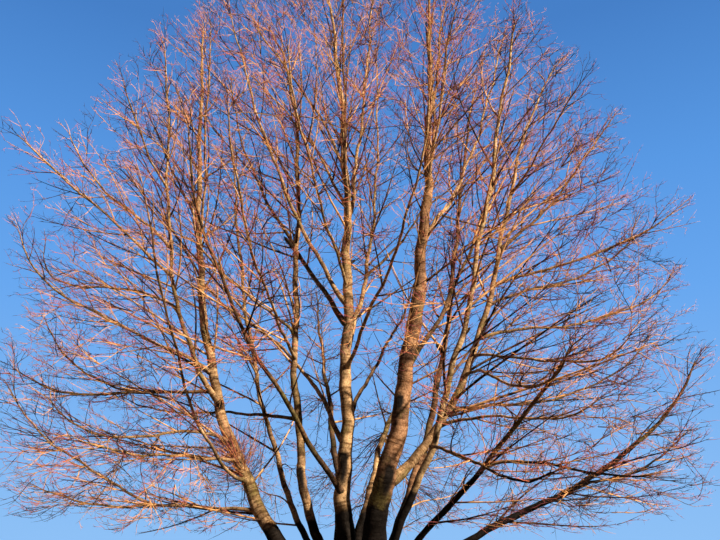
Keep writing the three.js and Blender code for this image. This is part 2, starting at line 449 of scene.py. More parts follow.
def grow(parent, rule):
    """New shoots on every parent by one rule, as paths that start on the parent's own middle line.

    A shoot leaves at `angle` to its parent, turned round it by `turn` from one shoot to the next. On a
    level parent the shoots stay in a flat spray, and low in the crown `level` lays them down. Each step
    then bends the shoot by `pull` towards the light, more and more by `rise` up, and by `wobble` at random.
    """
    index, number, share = seats(parent, rule)
    place, ahead, thick = on_parent(parent, index, share)
    lit = np.clip((outline_share(place) - rule["bare"]) / rule["bare_fade"], rule["inner"], 1)
    kept = (rng.random(len(index)) < lit) & (place[:, 2] > LOWEST_SHOOT) & ~in_clearing(place)
    index, number, share = index[kept], number[kept], share[kept]
    place, ahead, thick = place[kept], ahead[kept], thick[kept]
    count = len(index)

    side = unit(np.cross(ahead, UP + parent["tilt"][index] * rule["tilt"]))
    over = np.cross(side, ahead)
    turn = number * rule["turn"] + rng.normal(0, rule["turn_jitter"], count)
    steep = rule["flat"] + (1 - rule["flat"]) * np.abs(ahead[:, 2])
    across = np.cos(turn)[:, None] * side + (steep * np.sin(turn))[:, None] * over
    across = across + rule["lift"] * UP + rule["push"] * to_light(place)
    across = unit(across - (across * ahead).sum(1, keepdims=True) * ahead)
    angle = np.radians(rng.normal(rule["angle"], rule["angle_jitter"], count))[:, None]
    heading = np.cos(angle) * ahead + np.sin(angle) * across
    low = np.clip((LEVEL_BELOW - place[:, 2]) / LEVEL_FADE, 0, 1)
    heading[:, 2] *= 1 - rule["level"] * low
    heading = unit(heading)

    length = rule["base"] + rule["share"] * (1 - share) * parent["length"][index]
    length = np.minimum(length, rule["longest"]) * rng.uniform(rule["short"], 1.0, count)
    points = rule["points"]
    path = np.empty((count, points, 3))
    path[:, 0] = place
    for k in range(1, points):
        late = k / (points - 1)
        bend = rule["pull"] * to_light(path[:, k - 1]) + rule["rise"] * late * UP
        bend = bend + rng.normal(0, rule["wobble"], (count, 3))
        heading = unit(heading + bend / (points - 1))
        path[:, k] = path[:, k - 1] + heading * (length / (points - 1))[:, None]
    spray = parent["spray"][index] if "spray" in parent else rng.integers(0, SPRAYS, count)
    return as_shoots(path, thick, spray, rule)


def together(*sets):
    """Several sets of shoots as one."""
    return {key: np.concatenate([one[key] for one in sets]) for key in sets[0]}


def chosen_from(shoots, mask):
    """The shoots that the mask keeps."""
    return {key: values[mask] for key, values in shoots.items()}


# %% [markdown]
# ## Branches
# The limbs carry branches of one to four metres. On a steep stem they stand all round it and fan up; on a
# low, level bough they lie in flat sprays and turn up only at their ends. A few more continue each limb
# beyond its tip, so that no limb ends bluntly.

# %% Branches on the limbs
PARENT_POINTS = 41
LIMB_WHORLS = 9
pick = np.linspace(0, LIMB_POINTS - 1, PARENT_POINTS).astype(int)
parents = {
    "path": np.array([limbs[name]["line"][pick] for name in limb_names]),
    "radius": np.array([limbs[name]["radius"][pick] for name in limb_names]),
    "length": np.array([limbs[name]["way"][-1] for name in limb_names]),
    "tilt": unit(rng.normal(0, 1, (len(limb_names), 3))),
    "whorl": rng.integers(0, LIMB_WHORLS, len(limb_names)),
}
BRANCH_RULE = dict(
    name="branches",
    first=0.1, last=0.97, spacing=0.4,
    bare=0.12, bare_fade=0.35, inner=0.03,
    turn=2.4, turn_jitter=0.35, tilt=0.3, flat=0.35, lift=0.1, push=0.4,
    angle=38, angle_jitter=8, level=0.6,
    base=0.9, share=0.42, short=0.55, longest=4.2, shortest=0.3,
    points=10, pull=0.7, rise=0.35, wobble=0.2,
    stout=0.6, radius=0.032, thinnest=0.008, tip=0.3,
)
LEADER_RULE = dict(
    BRANCH_RULE,
    name="leaders",
    first=0.95, last=0.999, spacing=0.09,
    angle=15, share=0.0, longest=1.3, radius=0.011,
)
branches = together(grow(parents, BRANCH_RULE), grow(parents, LEADER_RULE))

# %% [markdown]
# ## Growing into the light
# A crown leaves no lit air unused: where a gap opens, the nearest shoots turn into it. The dome is
# divided into cubes, and each empty one is reached by one more branch from wood that lies near and
# already points that way. A second, finer round follows the first, so that branches fork too.

# %% Empty cubes of air
FULLEST_SHARE = 0.97


def empty_air(paths, cell, inner):
    """One random point in each cube of side `cell` that no path enters, between `inner` and the dome."""
    low = np.array([*(DOME_MIDDLE - DOME_REACH), 0.0])
    high = np.array([*(DOME_MIDDLE + DOME_REACH), DOME_TOP])
    cubes = np.ceil((high - low) / cell).astype(int)
    taken = np.zeros(cubes, bool)
    places = np.concatenate([path.reshape(-1, 3) for path in paths])
    taken[tuple(np.clip((places - low) / cell, 0, cubes - 1).astype(int).T)] = True
    empty = np.argwhere(~taken)
    spots = low + (empty + rng.random(empty.shape)) * cell
    share = outline_share(spots)
    lit = (share < FULLEST_SHARE) & (share > inner)
    return spots[lit & (spots[:, 2] > LOWEST_SHOOT) & ~in_clearing(spots)]


# %% The wood that is best placed to reach a spot
SPOTS_AT_ONCE = 100


def best_places(place, ahead, spots, rule):
    """For each spot the number of the cheapest place to start from, and its cost.

    The cost is the distance times (1 + `swerve` times (1 - the cosine of the turn)), with some luck.
    """
    chosen, costs = [], []
    for some in np.array_split(spots, len(spots) // SPOTS_AT_ONCE + 1):
        gap = some[:, None] - place
        far = np.linalg.norm(gap, axis=2)
        cosine = (gap * ahead).sum(2) / far
        cost = far * (1 + rule["swerve"] * (1 - cosine)) * rng.uniform(1, rule["luck"], far.shape)
        cost[(cosine < rule["least_cosine"]) | (far < rule["shortest"])] = np.inf
        chosen.append(cost.argmin(1))
        costs.append(cost.min(1))
    return np.concatenate(chosen), np.concatenate(costs)


# %% Branches that reach into empty air
def reach(wood, rule):
    """One shoot from the wood to each empty spot, as a cubic curve.

    It leaves half along its parent and half towards the spot, and arrives bent by `pull` towards the
    light and by `rise` up, so that its tip curves up.
    """
    spots = empty_air([shoots["path"] for shoots in wood], rule["cell"], rule["empty_from"])
    place = np.concatenate([shoots["path"].reshape(-1, 3) for shoots in wood])
    ahead = np.concatenate([unit(np.gradient(shoots["path"], axis=1)).reshape(-1, 3) for shoots in wood])
    thick = np.concatenate([shoots["radius"].reshape(-1) for shoots in wood])
    chosen, cost = best_places(place, ahead, spots, rule)
    near = cost < rule["longest"]
    chosen, spots = chosen[near], spots[near]
    start = place[chosen]
    gap = unit(spots - start)
    far = np.linalg.norm(spots - start, axis=1)[:, None]
    leave = unit(ahead[chosen] + gap) * far
    arrive = unit(gap + rule["rise"] * UP + rule["pull"] * to_light(spots)) * far
    t = np.linspace(0, 1, rule["points"])[:, None]
    path = hermite(t, start[:, None], leave[:, None], spots[:, None], arrive[:, None])
    sway = rng.normal(0, rule["wobble"], (len(path), 1, 3)) * np.sin(FULL_TURN * t)
    path = path + sway * far[:, None]
    return as_shoots(path, thick[chosen], rng.integers(0, SPRAYS, len(path)), rule)


REACH_RULE = dict(
    BRANCH_RULE,
    name="branches into gaps",
    cell=0.9, empty_from=0.35, swerve=2.0, luck=1.15, least_cosine=0.4,
    shortest=0.5, pull=0.4, wobble=0.02,
)
FORK_RULE = dict(
    REACH_RULE,
    name="forks into gaps",
    cell=0.6, empty_from=0.52, shortest=0.35, longest=2.4, radius=0.018, points=6,
)
wood = {key: parents[key] for key in ("path", "radius")}
branches = together(branches, reach([wood, branches], REACH_RULE))
forks = reach([wood, branches], FORK_RULE)

# %% [markdown]
# ## Side shoots, sprigs and twigs
# Each branch is feathered with side shoots left and right, as the leaves stood, longest near its foot.
# They carry sprigs, and these carry the last season's twigs, all by the same rule with other sizes. The
# outer limbs carry side shoots too, straight from the bark, which gives them their fuzzy edge. One stem
# has a dense tuft of thin shoots, where sleeping buds woke after a wound: the rule with hardly any
# spacing, on a short part of that stem.

# %% Side shoots
SHOOT_RULE = dict(
    name="side shoots",
    first=0.06, last=0.98, spacing=0.2,
    bare=0.15, bare_fade=0.65, inner=0.33,
    turn=math.pi, turn_jitter=0.5, tilt=0.5, flat=0.7, lift=0.1, push=0.2,
    angle=40, angle_jitter=14, level=0.0,
    base=0.4, share=0.33, short=0.55, longest=1.6, shortest=0.12,
    points=4, pull=0.45, rise=0.15, wobble=0.4,
    stout=0.7, radius=0.011, thinnest=0.005, tip=0.4,
)
LIMB_SHOOT_RULE = dict(
    SHOOT_RULE,
    name="side shoots on limbs",
    first=0.25, bare=0.25, bare_fade=0.35, inner=0.02,
    turn=2.4, share=0.03, base=0.6,
)
side_shoots = [grow(branches, SHOOT_RULE), grow(forks, SHOOT_RULE), grow(parents, LIMB_SHOOT_RULE)]

# %% The tuft
TUFT_STEM = "stem_left"
TUFT_FROM, TUFT_TO = 2.7, 3.6
TUFT_FOOT = 0.1
TUFT_RULE = dict(
    SHOOT_RULE,
    name="tuft",
    first=0.0, last=1.0, spacing=0.0035,
    inner=1.0, turn=2.4, turn_jitter=0.8, flat=1.0, push=0.3,
    angle=62, angle_jitter=20,
    base=1.3, share=0.0, short=0.35, longest=1.3,
    pull=0.35, rise=0.7, wobble=0.5,
    stout=0.2, radius=0.0065, thinnest=0.004, tip=0.6,
)
tuft_line, tuft_way = limbs[TUFT_STEM]["line"], limbs[TUFT_STEM]["way"]
tuft_at = np.interp([TUFT_FROM, TUFT_TO], tuft_line[:, 2], tuft_way)
tuft_path = cubic(tuft_line, tuft_way, np.linspace(*tuft_at, PARENT_POINTS))
tuft_parent = {
    "path": tuft_path[None],
    "radius": np.full((1, PARENT_POINTS), TUFT_FOOT),
    "length": distances(tuft_path)[-1:],
    "tilt": UP[None],
    "whorl": np.zeros(1, int),
}
side_shoots = together(*side_shoots, grow(tuft_parent, TUFT_RULE))

# %% Sprigs and twigs
SPRIG_RULE = dict(
    SHOOT_RULE,
    name="sprigs",
    first=0.08, spacing=0.25, bare=0.1, bare_fade=0.6, inner=0.5,
    turn_jitter=0.4, tilt=0.6, flat=0.9, push=0.1, angle=46, angle_jitter=16,
    base=0.16, share=0.3, short=0.5, longest=0.5, shortest=0.06,
    points=3, pull=0.25, wobble=0.5,
    stout=0.9, radius=0.006, thinnest=0.004, tip=0.6,
)
TWIG_RULE = dict(
    SPRIG_RULE,
    name="twigs",
    last=0.99, spacing=0.08, bare=0.0, bare_fade=0.25, inner=0.6,
    turn_jitter=0.5, tilt=0.8, flat=1.0, push=0.05, angle=50, angle_jitter=18,
    base=0.12, share=0.2, longest=0.2, shortest=0.04,
    points=2, pull=0.2, rise=0.1, wobble=0.3, stout=1.0, radius=0.0045,
)
sprigs = grow(side_shoots, SPRIG_RULE)
twigs = grow(sprigs, TWIG_RULE)

# %% [markdown]
# ## Tubes
# Every piece of wood here, from a stem to a twig, is the same surface: a ring carried along a path. The
# frame that holds the ring is turned as little as possible from one point to the next, so that the
# surface never twists. Thousands of twigs are made at once, as one array of twigs by rings by sides.

# %% Rings along many paths at once
NEARLY_UPRIGHT = 0.9


def carried_frames(paths):
    """Two directions across each path, turned with it as little as possible, as arrays like `paths`."""
    ahead = unit(np.gradient(paths, axis=1))
    across = np.empty_like(paths)
    spare = np.where(np.abs(ahead[:, 0, 2:]) > NEARLY_UPRIGHT, [[1.0, 0.0, 0.0]], [[0.0, 0.0, 1.0]])
    across[:, 0] = unit(np.cross(ahead[:, 0], spare))
    for k in range(1, paths.shape[1]):
        kept = across[:, k - 1]
        kept = kept - (kept * ahead[:, k]).sum(1, keepdims=True) * ahead[:, k]
        across[:, k] = unit(kept)
    return across, np.cross(ahead, across)


def turns(sides):
    """The angles of equal steps round one full turn."""
    return np.arange(sides) * (FULL_TURN / sides)


def ray_at(turn, across, over):
    """The direction (cos a, sin a) in the frame of two directions across a path."""
    return np.cos(turn)[..., None] * across + np.sin(turn)[..., None] * over


def tube_faces(count, rings, sides):
    """Wall quads, tip triangles and foot faces of `count` tubes of rings times sides corners and a tip."""
    per_tube = rings * sides + 1
    side = np.arange(sides)
    after = (side + 1) % sides
    ring = np.arange(rings - 1)[:, None] * sides
    a, b = ring + side, ring + after
    quads = np.stack([a, b, b + sides, a + sides], axis=-1).reshape(-1, 4)
    last = (rings - 1) * sides
    caps = np.stack([last + side, last + after, np.full(sides, per_tube - 1)], axis=-1)
    shift = (np.arange(count) * per_tube)[:, None, None]
    kinds = (quads, caps, side[::-1][None])
    return tuple((faces + shift).reshape(-1, faces.shape[1]) for faces in kinds)


def tubes(paths, radii, sides):
    """Rings of `sides` corners round all but a path's last point, which is the tip they close on.

    A corner is the path's point plus the radius times (cos a, sin a) in the frame carried along it.
    """
    count, rings = paths.shape[0], paths.shape[1] - 1
    across, over = carried_frames(paths)
    circle = ray_at(turns(sides), across[:, :rings, None], over[:, :rings, None])
    wall = paths[:, :rings, None] + radii[:, :rings, None, None] * circle
    corners = np.concatenate([wall.reshape(count, -1, 3), paths[:, -1:]], axis=1)
    return corners.reshape(-1, 3), *tube_faces(count, rings, sides)


# %% From arrays to a mesh
def mesh_object(name, corners, *face_sets, smooth=True):
    """A mesh object from corners and arrays of faces, each array with its own number of sides."""
    loops = np.concatenate([faces.reshape(-1) for faces in face_sets])
    sizes = np.concatenate([np.full(len(faces), faces.shape[1]) for faces in face_sets])
    starts = np.concatenate([[0], np.cumsum(sizes)[:-1]])
    mesh = bpy.data.meshes.new(name)
    for items, count, field, values in (
        (mesh.vertices, len(corners), "co", corners.astype(np.float32).reshape(-1)),
        (mesh.loops, len(loops), "vertex_index", loops.astype(np.int32)),
        (mesh.polygons, len(sizes), "loop_start", starts.astype(np.int32)),
    ):
        items.add(count)
        items.foreach_set(field, values)
    mesh.polygons.foreach_set("use_smooth", np.full(len(sizes), smooth))
    mesh.update(calc_edges=True)
    mesh.validate()
    return linked(name, mesh)


def bark_values(obj, places, scar):
    """The two values of each corner that the bark reads: its place on a straightened limb, and its scar."""
    for name, kind, field, values in (
        ("local_place", "FLOAT_VECTOR", "vector", places),
        ("scar", "FLOAT", "value", scar),
    ):
        layer = obj.data.attributes.new(name, kind, "POINT")
        layer.data.foreach_set(field, values.astype(np.float32).reshape(-1))


def triangle_count(obj):
    """Triangles the mesh draws: each face has two fewer than it has corners."""
    return len(obj.data.loops) - 2 * len(obj.data.polygons)


# %% [markdown]
# ## Relief of the bark
# The bark of this tree is smooth and thin-skinned. What shows on it are shallow rings, lumps where
# branches were shed, each with a raised rim, swellings where a branch leaves, and a section that is not
# quite round. All are added to a limb's radius, as heights that depend on the place on its surface.

# %% Smooth noise
NOISE_CELLS = 32
noise_table = rng.uniform(-1, 1, (NOISE_CELLS,) * 3)


def rough(places, size):
    """Noise from -1 to 1: random values on a lattice `size` apart, eased between the eight nearest."""
    spot = places / size
    cell = np.floor(spot).astype(int)
    t = spot - cell
    t = t * t * (3 - 2 * t)
    total = 0
    for corner in np.ndindex(2, 2, 2):
        i, j, k = np.moveaxis((cell + corner) % NOISE_CELLS, -1, 0)
        total = total + np.prod(np.where(corner, t, 1 - t), axis=-1) * noise_table[i, j, k]
    return total


# %% Where the limbs were hurt
KNOT_SPACING = 0.55
KNOT_SIZE = (0.25, 0.5)
KNOT_FROM, KNOT_UNTIL = 0.3, 0.8
KNOT_HEIGHT = 0.28
KNOT_RIM = 1.6
KNOT_DIP, MARK_DIP = 0.2, 0.6
KNOT_SCAR = 2.5


def round_limb(angle, turn, radius):
    """The way round a limb from the angle `turn` to each angle, as a length on its skin."""
    return ((angle - turn + math.pi) % FULL_TURN - math.pi) * radius[:, None]


def rimmed(d2, size, dip):
    """A raised rim round a dish: (rim times d squared, less the dip) times e to the minus d squared."""
    return KNOT_HEIGHT * size * (KNOT_RIM * d2 - dip) * np.exp(-d2)


def knots(way, angle, radius):
    """Height and scar mask of shed branches at random places, by the distance d from each over its size."""
    height, scar = np.zeros(angle.shape), np.zeros(angle.shape)
    count = int(way[-1] / KNOT_SPACING)
    for at, turn, share in zip(
        rng.uniform(KNOT_FROM, way[-1] * KNOT_UNTIL, count),
        rng.uniform(0, FULL_TURN, count),
        rng.uniform(*KNOT_SIZE, count),
    ):
        size = share * np.interp(at, way, radius)
        d2 = ((way[:, None] - at) ** 2 + round_limb(angle, turn, radius) ** 2) / size**2
        height += rimmed(d2, size, KNOT_DIP)
        scar = np.maximum(scar, np.exp(-KNOT_SCAR * d2))
    return height, scar


# %% Marks that can be told one by one
# Limb, height over the ground, compass direction (0 to the tree's left hand, -90 to its front), size as a
# share of the limb's radius, and how far a dark streak runs down from the mark.
MARKS = (
    ("stem_centre", 3.2, -100, 0.75, 0.75),
    ("stem_centre", 5.6, -60, 0.5, 0.0),
    ("stem_mid_left", 2.93, -95, 0.8, 0.5),
    ("stem_left", 4.45, -80, 0.75, 0.15),
    ("stem_right", 4.3, -110, 0.45, 0.3),
    ("stem_right", 2.9, -70, 0.5, 0.6),
    ("stem_right_lit", 3.4, -90, 0.7, 0.2),
)
STREAK_WIDTH = 0.6
# Each mark's near-black is partly the scar's own darker bark and partly painted shade in its hollow.
MARK_DARKNESS = 1.8


def compass_ray(compass, rise):
    """The level direction of a compass angle in degrees, with a rise."""
    return np.array([math.cos(math.radians(compass)), math.sin(math.radians(compass)), rise])


def marks(name, line, way, angle, radius, across, over):
    """Height and mask of the limb's single marks: a knot each, and a streak that fades below it."""
    height, scar = np.zeros(angle.shape), np.zeros(angle.shape)
    for limb, level, compass, share, streak in MARKS:
        if limb != name:
            continue
        at = np.interp(level, line[:, 2], way)
        thick = np.interp(at, way, radius)
        ring = int(np.searchsorted(way, at))
        ray = compass_ray(compass, 0.0)
        around = round_limb(angle, math.atan2(ray @ over[ring], ray @ across[ring]), radius)
        along = way[:, None] - at
        d2 = (along**2 + around**2) / (share * thick) ** 2
        height += rimmed(d2, share * thick, MARK_DIP)
        below = np.clip(1 + along / max(streak, 1e-3), 0, 1) * (along < 0)
        narrow = np.exp(-((around / (STREAK_WIDTH * thick)) ** 2))
        mask = MARK_DARKNESS * np.maximum(np.exp(-(d2**2)), np.sqrt(below) * narrow)
        scar = np.maximum(scar, np.minimum(mask, 1))
    return height, scar


# %% The skin of one limb
COLLAR_HEIGHT, COLLAR_REACH = 0.3, 1.5
COLLAR_NEAR = 0.5
COLLAR_POINT = 8
# Share of the limb's radius, squeeze of the place along each axis, and size of the noise.
OUT_OF_ROUND = ((0.05, (2, 2, 0.7), 0.5), (0.035, (1, 1, 0.5), 0.09))
RING_HEIGHT, RING_GAP = 0.0035, 0.05
RING_STRETCH = (0.25, 0.25, 1)
RINGS_FULL_AT = 0.06


def collars(corners, name):
    """Height of the swellings round every limb that leaves this one, by the distance to its seat."""
    height = np.zeros(corners.shape[:-1])
    for other, limb in limbs.items():
        gap = np.linalg.norm(corners - limb["seat"], axis=-1)
        if other != name and gap.min() < COLLAR_NEAR:
            thick = limb["radius"][COLLAR_POINT]
            height += COLLAR_HEIGHT * thick * np.exp(-((gap / (COLLAR_REACH * thick)) ** 2))
    return height


def limb_skin(name, ring_gap, sides):
    """Corners, local places and scar mask of a limb's bark, as rings by sides, and its tip.

    The local place is (r cos a, r sin a, way along), so a pattern on it follows the limb unbent.
    """
    limb = limbs[name]
    rings = int(limb["way"][-1] / ring_gap)
    at = np.linspace(0, limb["way"][-1], rings + 1)
    line = cubic(limb["line"], limb["way"], at)
    radius = np.interp(at, limb["way"], limb["radius"])[:rings]
    across, over = carried_frames(line[None])
    angle = turns(sides) * np.ones((rings, 1))
    circle = ray_at(angle, across[0, :rings, None], over[0, :rings, None])
    thick = radius[:, None]
    local = np.stack([thick * np.cos(angle), thick * np.sin(angle), at[:rings, None] + 0 * angle], -1)
    start = rng.uniform(0, NOISE_CELLS, 3)
    place = local + start
    height = thick * sum(share * rough(place * squeeze, size) for share, squeeze, size in OUT_OF_ROUND)
    ringed = rough(local * RING_STRETCH + start, RING_GAP)
    height += RING_HEIGHT * np.minimum(1, thick / RINGS_FULL_AT) * ringed
    knot_height, scar = knots(at[:rings], angle, radius)
    mark_height, mark = marks(name, line[:rings], at[:rings], angle, radius, across[0], over[0])
    corners = line[:rings, None] + (thick + height + knot_height + mark_height)[..., None] * circle
    corners = corners + collars(corners, name)[..., None] * circle
    return corners, place, np.maximum(scar, mark), line[-1]


# %% [markdown]
# ## Colours of the wood
# Young bark is a warm tan, and it greys and darkens with age towards the foot. Below a ragged edge some two
# metres up, which rises to the right, the bark is painted nearly black: a painted cast shadow on the stems'
# lower part. Scars turn the same near-black, partly their own darker bark and partly painted shade in their
# hollows. Here and there a thin green film of algae grows on the bark. Rings, blotches and scars all vary
# the same few colours, so they live in one node group. It reads the local place, in which every limb is
# straight, so its rings go round each limb however it bends.

# %% Short ways to make nodes
# A mix of colours takes its share in slot 0 and its colours in slots 6 and 7, and puts out in slot 2.
COLOUR_SLOTS, COLOUR_OUT = (0, 6, 7), 2


def node(tree, kind, *inputs, **settings):
    """A node with these first inputs, each a value or a socket, and these properties and named inputs."""
    made = tree.nodes.new(kind)
    for key, value in settings.items():
        if hasattr(made, key):
            setattr(made, key, value)
        else:
            made.inputs[key.replace("_", " ")].default_value = value
    slots = COLOUR_SLOTS if kind == "ShaderNodeMix" else range(len(inputs))
    for slot, value in zip(slots, inputs):
        if isinstance(value, bpy.types.NodeSocket):
            tree.links.new(value, made.inputs[slot])
        else:
            made.inputs[slot].default_value = value
    return made


def noise(tree, place, scale, detail, roughness=0.5):
    """Smooth noise from 0 to 1."""
    return node(tree, "ShaderNodeTexNoise", place, Scale=scale, Detail=detail, Roughness=roughness).outputs[0]


def ranged(tree, value, *limits, **settings):
    """The value moved from the first two limits to 0 and 1, or to the last two where they are given."""
    return node(tree, "ShaderNodeMapRange", value, *limits, **settings).outputs[0]


def maths(tree, operation, *inputs):
    """One sum or product of values."""
    return node(tree, "ShaderNodeMath", *inputs, operation=operation).outputs[0]


def mixed(tree, share, first, second, **settings):
    """The colour that lies at the share between two colours."""
    return node(tree, "ShaderNodeMix", share, first, second, data_type="RGBA", **settings).outputs[COLOUR_OUT]


def ramp(tree, value, *stops):
    """The colour at the value between the given (place, colour) stops."""
    made = node(tree, "ShaderNodeValToRGB", value)
    bar = made.color_ramp
    while len(bar.elements) < len(stops):
        bar.elements.new(0.5)
    for element, (place, colour) in zip(bar.elements, stops):
        element.position = place
        element.color = (*colour, 1)
    return made.outputs[0]


# %% The bark as a node group
# Each noise is a scale, a detail and a roughness, and each range its two ends, then what they become.
BLOTCHES, GRAIN, RINGS, FILM = (2.2, 5.0, 0.62), (26.0, 4.0, 0.6), (1.0, 4.0, 0.75), (1.1, 6.0, 0.7)
RING_SQUEEZE = (1.4, 1.4, 13.0)
RING_RANGE, AGE_RANGE, FILM_RANGE = (0.47, 0.62), (0.42, 0.56), (0.5, 0.68, 0.0, 0.75)
AGE_BY_HEIGHT = (4.5, 9.5, 1.0, 0.25)
# Heights between which the painted cast shadow on the lower stems fades in, and how ragged its edge is.
SHADOW_EDGE_HEIGHTS = (2.22, 2.04)
SHADOW_EDGE_RAGGED = 0.6
DARKEST_SHARE = 0.99
DULLNESS = (0.3, 0.7, 0.62, 0.9)
RING_DEPTH = -0.5
FILM_GREEN = (0.23, 0.2, 0.06, 1)
RING_TINT = (0.42, 0.35, 0.28, 1)
GRAIN_TINTS = ((0.36, (0.5, 0.45, 0.4)), (0.58, (1.0, 1.0, 1.0)))
BARK_SOCKETS = (
    ("INPUT", "Color", ("Young", "Old", "Dark")),
    ("INPUT", "Vector", ("Place",)),
    ("INPUT", "Float", ("Above Ground", "Scar")),
    ("OUTPUT", "Color", ("Colour",)),
    ("OUTPUT", "Float", ("Height", "Roughness")),
)


def bark_group():
    """Local place in, bark colour, height and roughness out."""
    group = bpy.data.node_groups.new("bark_skin", "ShaderNodeTree")
    for way, kind, names in BARK_SOCKETS:
        for name in names:
            group.interface.new_socket(name, in_out=way, socket_type="NodeSocket" + kind)
    given = group.nodes.new("NodeGroupInput").outputs
    out = group.nodes.new("NodeGroupOutput").inputs
    place, above = given["Place"], given["Above Ground"]
    blotch = noise(group, place, *BLOTCHES)
    fine = noise(group, place, *GRAIN)
    squeezed = node(group, "ShaderNodeVectorMath", place, RING_SQUEEZE, operation="MULTIPLY").outputs[0]
    ring = ranged(group, noise(group, squeezed, *RINGS), *RING_RANGE)

    old = maths(group, "MULTIPLY", ranged(group, blotch, *AGE_RANGE), ranged(group, above, *AGE_BY_HEIGHT))
    skin = mixed(group, old, given["Young"], given["Old"])
    skin = mixed(group, ranged(group, noise(group, place, *FILM), *FILM_RANGE), skin, FILM_GREEN)
    # The painted cast shadow: below a ragged edge about two metres up, the bark turns to the dark colour.
    edge = maths(group, "MULTIPLY_ADD", blotch, SHADOW_EDGE_RAGGED, above)
    edge = maths(group, "SUBTRACT", edge, SHADOW_EDGE_RAGGED / 2)
    foot = ranged(group, edge, *SHADOW_EDGE_HEIGHTS, interpolation_type="SMOOTHSTEP")
    dark = maths(group, "MULTIPLY", maths(group, "MAXIMUM", foot, given["Scar"]), DARKEST_SHARE)
    skin = mixed(group, dark, skin, given["Dark"])
    skin = mixed(group, ring, skin, RING_TINT, blend_type="MULTIPLY")
    skin = mixed(group, 1.0, skin, ramp(group, fine, *GRAIN_TINTS), blend_type="MULTIPLY")

    group.links.new(skin, out["Colour"])
    group.links.new(maths(group, "MULTIPLY_ADD", ring, RING_DEPTH, fine), out["Height"])
    group.links.new(ranged(group, blotch, *DULLNESS), out["Roughness"])
    return group


bark_skin = bark_group()

# %% Plain colours
MATT_SPECULAR = 0.1


def plain_material(name, colour, roughness):
    """One plain base colour. Dry bark and twigs hardly shine."""
    material = bpy.data.materials.new(name)
    material.use_nodes = True
    shader = material.node_tree.nodes["Principled BSDF"]
    shader.inputs["Base Color"].default_value = (*colour, 1)
    shader.inputs["Roughness"].default_value = roughness
    shader.inputs["Specular IOR Level"].default_value = MATT_SPECULAR
    return material


# %% Bark in four tones
# The painted cast shadow on the stems' lower part climbs higher on the stems to the right.
SHADOW_EDGE_SLANT = -0.22
BUMP_STRENGTH, BUMP_DISTANCE = 0.6, 0.012
# The dark colour: painted cast shadow on the stems' lower part, and the near-black of scars, partly painted
# shade in their hollows.
BARK_SHADOW_AND_SCAR = (0.010, 0.008, 0.008)
# The young and the old colour of each tone.
# The pale tone is painted sunlight, the brown tone partly painted shade, and the dark tone painted shade on
# the limbs that stand in shade.
BARK_TONES = {
    "pale": ((0.72, 0.52, 0.29), (0.48, 0.33, 0.19)),
    "tan": ((0.62, 0.41, 0.22), (0.25, 0.155, 0.09)),
    "brown": ((0.46, 0.26, 0.145), (0.15, 0.085, 0.055)),
    "dark": ((0.22, 0.13, 0.07), (0.07, 0.045, 0.033)),
}


def bark_material(name, young, old, dark):
    """The bark group on a limb's own local places, with plain colours for its young, old and dark parts."""
    material = plain_material(name, young, 1.0)
    tree = material.node_tree
    shader = tree.nodes["Principled BSDF"]
    group = node(tree, "ShaderNodeGroup", node_tree=bark_skin)
    for key, colour in (("Young", young), ("Old", old), ("Dark", dark)):
        group.inputs[key].default_value = (*colour, 1)
    place = node(tree, "ShaderNodeAttribute", attribute_name="local_place")
    scar = node(tree, "ShaderNodeAttribute", attribute_name="scar")
    spot = node(tree, "ShaderNodeTexCoord").outputs["Object"]
    parts = node(tree, "ShaderNodeSeparateXYZ", spot).outputs
    bump = node(tree, "ShaderNodeBump", Strength=BUMP_STRENGTH, Distance=BUMP_DISTANCE)
    for source, target in (
        (place.outputs["Vector"], group.inputs["Place"]),
        (scar.outputs["Fac"], group.inputs["Scar"]),
        # Height for the age and for the painted cast shadow, whose edge climbs to the right.
        (maths(tree, "MULTIPLY_ADD", parts["X"], SHADOW_EDGE_SLANT, parts["Z"]), group.inputs["Above Ground"]),
        (group.outputs["Colour"], shader.inputs["Base Color"]),
        (group.outputs["Roughness"], shader.inputs["Roughness"]),
        (group.outputs["Height"], bump.inputs["Height"]),
        (bump.outputs["Normal"], shader.inputs["Normal"]),
    ):
        tree.links.new(source, target)
    return material


barks = {tone: bark_material("bark_" + tone, *colours, BARK_SHADOW_AND_SCAR) for tone, colours in BARK_TONES.items()}

# %% [markdown]
# ## Bark on every limb
# Each limb of the imported model is replaced by a finer skin on the same centreline. The fattest stems
# need many sides to look round, the boughs fewer. Most limbs are tan. The sunniest stem is painted nearly
# cream, as painted sunlight; the thickest is brown, partly as painted shade; and limbs that stand in shade
# are painted dark, as painted shade.

# %% Skins
# Tones by limb: pale is painted sunlight, brown is partly painted shade, and dark is painted shade on limbs
# in shade.
LIMB_TONES = {
    "pale": ("stem_right_lit",),
    "brown": ("stem_right", "stem_right_back", "bough_right_twin"),
    "dark": (
        "stem_back_left", "stem_low_front", "stem_low_right", "bough_behind_left",
        "bough_centre_leader_front", "bough_centre_left_rear", "bough_centre_low_left",
        "bough_centre_right_back", "bough_fork_level_back", "bough_fork_out_back", "bough_fork_rising",
        "bough_left_high_back", "bough_left_level", "bough_left_level_back", "bough_low_right_back",
        "bough_rear_right", "bough_right_back_long",
    ),
}
tone_of = {name: tone for tone, names in LIMB_TONES.items() for name in names}
STEM_RINGS, STEM_SIDES = 0.07, 24
BOUGH_RINGS, BOUGH_SIDES = 0.09, 10

